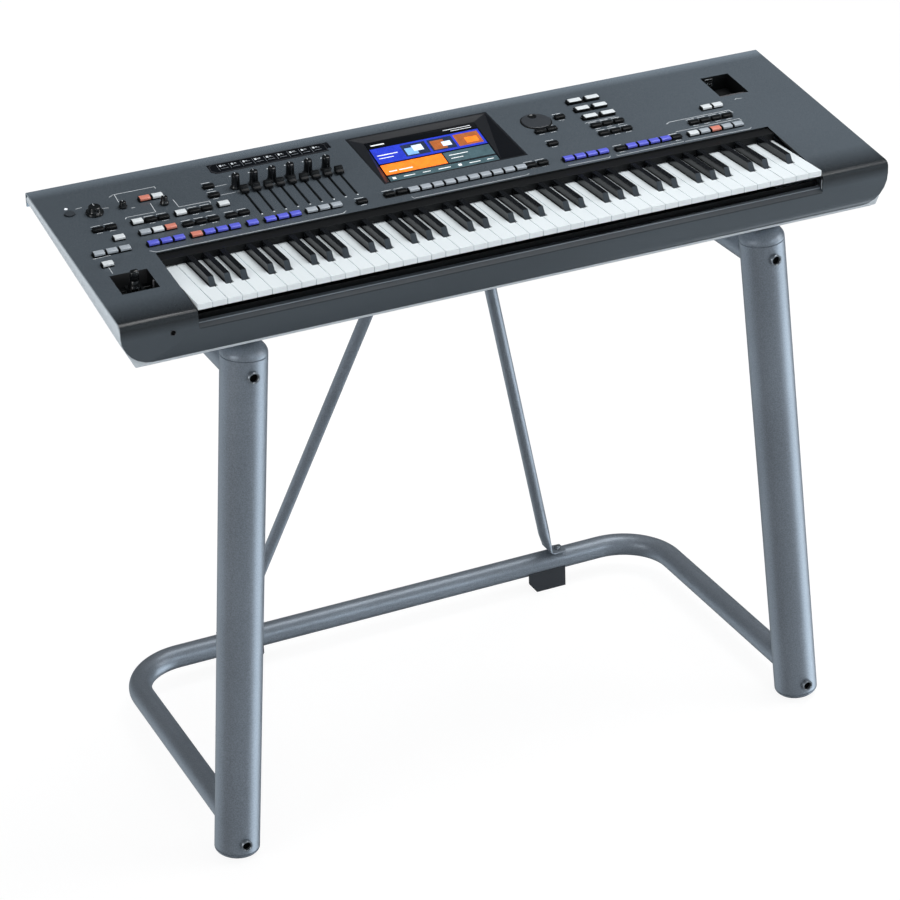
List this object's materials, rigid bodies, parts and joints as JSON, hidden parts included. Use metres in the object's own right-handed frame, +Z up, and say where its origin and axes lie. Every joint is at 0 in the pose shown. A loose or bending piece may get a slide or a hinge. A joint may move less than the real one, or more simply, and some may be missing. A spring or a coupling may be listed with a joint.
{
  "type": "arranger keyboard",
  "caption": "Arranger keyboard with a sloping control panel, tilted display, faders, knobs and joystick, on its matching splayed tubular stand.",
  "frame": {"origin": "on the floor, in the middle of the object's outer size", "axes": "+Z up, +X to the player's right, +Y to the back, away from the player"},
  "size_m": [1.234, 0.5712, 0.9919],
  "materials": {
    "stand_paint": "satin blue-grey paint",
    "foot_rubber": "matt dark grey",
    "tray_white": "silver white",
    "panel_grey": "satin gunmetal",
    "trim_black": "fine grain",
    "screen": "dark glass over a lit display",
    "circuit_board": "green laminate",
    "white_key": "smooth white",
    "black_key": "satin black",
    "knob_black": "satin black",
    "button_grey": "matt moulded rubber"
  },
  "bodies": {
    "stand_and_case": {"top_panel": "panel_grey", "lower_case": "tray_white", "key_fascia": "trim_black", "key_bed": "trim_black", "screen_bezel": "trim_black", "screen_glass": "screen", "strip_display": "screen", "main_board": "circuit_board", "left_leg": "stand_paint", "right_leg": "stand_paint", "left_leg_cap": "stand_paint", "right_leg_cap": "stand_paint", "left_foot_cap": "stand_paint", "right_foot_cap": "stand_paint", "top_frame": "stand_paint", "base_tube": "stand_paint", "left_brace": "stand_paint", "right_brace": "stand_paint", "left_rear_foot": "foot_rubber", "right_rear_foot": "foot_rubber"},
    "lowest_white_keys": {"lowest_white_keys": "white_key"},
    "lowest_black_keys": {"lowest_black_keys": "black_key"},
    "second_white_keys": {"second_white_keys": "white_key"},
    "second_black_keys": {"second_black_keys": "black_key"},
    "third_white_keys": {"third_white_keys": "white_key"},
    "third_black_keys": {"third_black_keys": "black_key"},
    "fourth_white_keys": {"fourth_white_keys": "white_key"},
    "fourth_black_keys": {"fourth_black_keys": "black_key"},
    "fifth_white_keys": {"fifth_white_keys": "white_key"},
    "fifth_black_keys": {"fifth_black_keys": "black_key"},
    "sixth_white_keys": {"sixth_white_keys": "white_key"},
    "sixth_black_keys": {"sixth_black_keys": "black_key"},
    "highest_white_keys": {"highest_white_keys": "white_key"},
    "highest_black_keys": {"highest_black_keys": "black_key"},
    "fader_1": {"fader_1": "knob_black"},
    "fader_2": {"fader_2": "knob_black"},
    "fader_3": {"fader_3": "knob_black"},
    "fader_4": {"fader_4": "knob_black"},
    "fader_5": {"fader_5": "knob_black"},
    "fader_6": {"fader_6": "knob_black"},
    "fader_7": {"fader_7": "knob_black"},
    "fader_8": {"fader_8": "knob_black"},
    "fader_9": {"fader_9": "knob_black"},
    "live_knob_1": {"live_knob_1": "knob_black"},
    "live_knob_2": {"live_knob_2": "knob_black"},
    "live_knob_3": {"live_knob_3": "knob_black"},
    "live_knob_4": {"live_knob_4": "knob_black"},
    "live_knob_5": {"live_knob_5": "knob_black"},
    "live_knob_6": {"live_knob_6": "knob_black"},
    "master_volume_knob": {"master_volume_knob": "knob_black"},
    "mic_gain_knob": {"mic_gain_knob": "knob_black"},
    "balance_knob": {"balance_knob": "knob_black"},
    "data_dial": {"data_dial": "knob_black"},
    "joystick_gimbal": {"joystick_gimbal": "knob_black"},
    "joystick": {"joystick": "knob_black"},
    "left_row_buttons": {"left_row_buttons": "button_grey"},
    "left_upper_buttons": {"left_upper_buttons": "button_grey"},
    "screen_row_buttons": {"screen_row_buttons": "button_grey"},
    "right_row_buttons": {"right_row_buttons": "button_grey"},
    "right_upper_buttons": {"right_upper_buttons": "button_grey"}
  },
  "joints": [
    {"name": "lowest_white_keys_dip", "type": "hinge", "parent": "stand_and_case", "child": "lowest_white_keys", "pos_m": [-0.4456, -0.08961, 0.92485], "axis": [1, 0, 0], "range_deg": [0, 2.9], "stiffness_Nm_per_rad": 6, "springref_deg": -5.73},
    {"name": "lowest_black_keys_dip", "type": "hinge", "parent": "stand_and_case", "child": "lowest_black_keys", "pos_m": [-0.4456, -0.07361, 0.92485], "axis": [1, 0, 0], "range_deg": [0, 2.9], "stiffness_Nm_per_rad": 3, "springref_deg": -5.73},
    {"name": "second_white_keys_dip", "type": "hinge", "parent": "stand_and_case", "child": "second_white_keys", "pos_m": [-0.31192, -0.08961, 0.92485], "axis": [1, 0, 0], "range_deg": [0, 2.9], "stiffness_Nm_per_rad": 6, "springref_deg": -5.73},
    {"name": "second_black_keys_dip", "type": "hinge", "parent": "stand_and_case", "child": "second_black_keys", "pos_m": [-0.31192, -0.07361, 0.92485], "axis": [1, 0, 0], "range_deg": [0, 2.9], "stiffness_Nm_per_rad": 3, "springref_deg": -5.73},
    {"name": "third_white_keys_dip", "type": "hinge", "parent": "stand_and_case", "child": "third_white_keys", "pos_m": [-0.15596, -0.08961, 0.92485], "axis": [1, 0, 0], "range_deg": [0, 2.9], "stiffness_Nm_per_rad": 6, "springref_deg": -5.73},
    {"name": "third_black_keys_dip", "type": "hinge", "parent": "stand_and_case", "child": "third_black_keys", "pos_m": [-0.15596, -0.07361, 0.92485], "axis": [1, 0, 0], "range_deg": [0, 2.9], "stiffness_Nm_per_rad": 3, "springref_deg": -5.73},
    {"name": "fourth_white_keys_dip", "type": "hinge", "parent": "stand_and_case", "child": "fourth_white_keys", "pos_m": [0, -0.08961, 0.92485], "axis": [1, 0, 0], "range_deg": [0, 2.9], "stiffness_Nm_per_rad": 6, "springref_deg": -5.73},
    {"name": "fourth_black_keys_dip", "type": "hinge", "parent": "stand_and_case", "child": "fourth_black_keys", "pos_m": [0, -0.07361, 0.92485], "axis": [1, 0, 0], "range_deg": [0, 2.9], "stiffness_Nm_per_rad": 3, "springref_deg": -5.73},
    {"name": "fifth_white_keys_dip", "type": "hinge", "parent": "stand_and_case", "child": "fifth_white_keys", "pos_m": [0.15596, -0.08961, 0.92485], "axis": [1, 0, 0], "range_deg": [0, 2.9], "stiffness_Nm_per_rad": 6, "springref_deg": -5.73},
    {"name": "fifth_black_keys_dip", "type": "hinge", "parent": "stand_and_case", "child": "fifth_black_keys", "pos_m": [0.15596, -0.07361, 0.92485], "axis": [1, 0, 0], "range_deg": [0, 2.9], "stiffness_Nm_per_rad": 3, "springref_deg": -5.73},
    {"name": "sixth_white_keys_dip", "type": "hinge", "parent": "stand_and_case", "child": "sixth_white_keys", "pos_m": [0.31192, -0.08961, 0.92485], "axis": [1, 0, 0], "range_deg": [0, 2.9], "stiffness_Nm_per_rad": 6, "springref_deg": -5.73},
    {"name": "sixth_black_keys_dip", "type": "hinge", "parent": "stand_and_case", "child": "sixth_black_keys", "pos_m": [0.31192, -0.07361, 0.92485], "axis": [1, 0, 0], "range_deg": [0, 2.9], "stiffness_Nm_per_rad": 3, "springref_deg": -5.73},
    {"name": "highest_white_keys_dip", "type": "hinge", "parent": "stand_and_case", "child": "highest_white_keys", "pos_m": [0.4456, -0.08961, 0.92485], "axis": [1, 0, 0], "range_deg": [0, 2.9], "stiffness_Nm_per_rad": 6, "springref_deg": -5.73},
    {"name": "highest_black_keys_dip", "type": "hinge", "parent": "stand_and_case", "child": "highest_black_keys", "pos_m": [0.4456, -0.07361, 0.92485], "axis": [1, 0, 0], "range_deg": [0, 2.9], "stiffness_Nm_per_rad": 3, "springref_deg": -5.73},
    {"name": "fader_1_slide", "type": "slide", "parent": "stand_and_case", "child": "fader_1", "axis": [0, -0.9904, -0.1385], "range_m": [0, 0.06]},
    {"name": "fader_2_slide", "type": "slide", "parent": "stand_and_case", "child": "fader_2", "axis": [0, -0.9904, -0.1385], "range_m": [0, 0.06]},
    {"name": "fader_3_slide", "type": "slide", "parent": "stand_and_case", "child": "fader_3", "axis": [0, -0.9904, -0.1385], "range_m": [0, 0.06]},
    {"name": "fader_4_slide", "type": "slide", "parent": "stand_and_case", "child": "fader_4", "axis": [0, -0.9904, -0.1385], "range_m": [0, 0.06]},
    {"name": "fader_5_slide", "type": "slide", "parent": "stand_and_case", "child": "fader_5", "axis": [0, -0.9904, -0.1385], "range_m": [0, 0.06]},
    {"name": "fader_6_slide", "type": "slide", "parent": "stand_and_case", "child": "fader_6", "axis": [0, -0.9904, -0.1385], "range_m": [0, 0.06]},
    {"name": "fader_7_slide", "type": "slide", "parent": "stand_and_case", "child": "fader_7", "axis": [0, -0.9904, -0.1385], "range_m": [0, 0.06]},
    {"name": "fader_8_slide", "type": "slide", "parent": "stand_and_case", "child": "fader_8", "axis": [0, -0.9904, -0.1385], "range_m": [0, 0.06]},
    {"name": "fader_9_slide", "type": "slide", "parent": "stand_and_case", "child": "fader_9", "axis": [0, -0.9904, -0.1385], "range_m": [0, 0.06]},
    {"name": "live_knob_1_turn", "type": "hinge", "parent": "stand_and_case", "child": "live_knob_1", "pos_m": [-0.32701, 0.01331, 0.9683], "axis": [0, -0.1385, 0.9904], "range_deg": [-150, 150]},
    {"name": "live_knob_2_turn", "type": "hinge", "parent": "stand_and_case", "child": "live_knob_2", "pos_m": [-0.29801, 0.01331, 0.9683], "axis": [0, -0.1385, 0.9904], "range_deg": [-150, 150]},
    {"name": "live_knob_3_turn", "type": "hinge", "parent": "stand_and_case", "child": "live_knob_3", "pos_m": [-0.26901, 0.01331, 0.9683], "axis": [0, -0.1385, 0.9904], "range_deg": [-150, 150]},
    {"name": "live_knob_4_turn", "type": "hinge", "parent": "stand_and_case", "child": "live_knob_4", "pos_m": [-0.24001, 0.01331, 0.9683], "axis": [0, -0.1385, 0.9904], "range_deg": [-150, 150]},
    {"name": "live_knob_5_turn", "type": "hinge", "parent": "stand_and_case", "child": "live_knob_5", "pos_m": [-0.21101, 0.01331, 0.9683], "axis": [0, -0.1385, 0.9904], "range_deg": [-150, 150]},
    {"name": "live_knob_6_turn", "type": "hinge", "parent": "stand_and_case", "child": "live_knob_6", "pos_m": [-0.18201, 0.01331, 0.9683], "axis": [0, -0.1385, 0.9904], "range_deg": [-150, 150]},
    {"name": "master_volume_knob_turn", "type": "hinge", "parent": "stand_and_case", "child": "master_volume_knob", "pos_m": [-0.54419, 0.02019, 0.96926], "axis": [0, -0.1385, 0.9904], "range_deg": [-150, 150]},
    {"name": "mic_gain_knob_turn", "type": "hinge", "parent": "stand_and_case", "child": "mic_gain_knob", "pos_m": [-0.50039, 0.021, 0.96938], "axis": [0, -0.1385, 0.9904], "range_deg": [-150, 150]},
    {"name": "balance_knob_turn", "type": "hinge", "parent": "stand_and_case", "child": "balance_knob", "pos_m": [-0.44115, 0.00723, 0.96745], "axis": [0, -0.1385, 0.9904], "range_deg": [-150, 150]},
    {"name": "data_dial_turn", "type": "hinge", "parent": "stand_and_case", "child": "data_dial", "pos_m": [0.17708, 0.02911, 0.97051], "axis": [0, -0.1385, 0.9904], "continuous": true},
    {"name": "joystick_tip_fore_aft", "type": "hinge", "parent": "stand_and_case", "child": "joystick_gimbal", "pos_m": [-0.55653, -0.17891, 0.92829], "axis": [1, 0, 0], "range_deg": [-18, 18], "stiffness_Nm_per_rad": 0.05},
    {"name": "joystick_tip_sideways", "type": "hinge", "parent": "joystick_gimbal", "child": "joystick", "pos_m": [-0.55653, -0.17891, 0.92829], "axis": [0, 0.9904, 0.1385], "range_deg": [-18, 18], "stiffness_Nm_per_rad": 0.05},
    {"name": "left_row_buttons_press", "type": "slide", "parent": "stand_and_case", "child": "left_row_buttons", "axis": [0, 0.1385, -0.9904], "range_m": [0, 0.0015], "stiffness_N_per_m": 3000, "springref_m": -0.001},
    {"name": "left_upper_buttons_press", "type": "slide", "parent": "stand_and_case", "child": "left_upper_buttons", "axis": [0, 0.1385, -0.9904], "range_m": [0, 0.0015], "stiffness_N_per_m": 3000, "springref_m": -0.001},
    {"name": "screen_row_buttons_press", "type": "slide", "parent": "stand_and_case", "child": "screen_row_buttons", "axis": [0, 0.1385, -0.9904], "range_m": [0, 0.0015], "stiffness_N_per_m": 3000, "springref_m": -0.001},
    {"name": "right_row_buttons_press", "type": "slide", "parent": "stand_and_case", "child": "right_row_buttons", "axis": [0, 0.1385, -0.9904], "range_m": [0, 0.0015], "stiffness_N_per_m": 3000, "springref_m": -0.001},
    {"name": "right_upper_buttons_press", "type": "slide", "parent": "stand_and_case", "child": "right_upper_buttons", "axis": [0, 0.1385, -0.9904], "range_m": [0, 0.0015], "stiffness_N_per_m": 3000, "springref_m": -0.001}
  ]
}
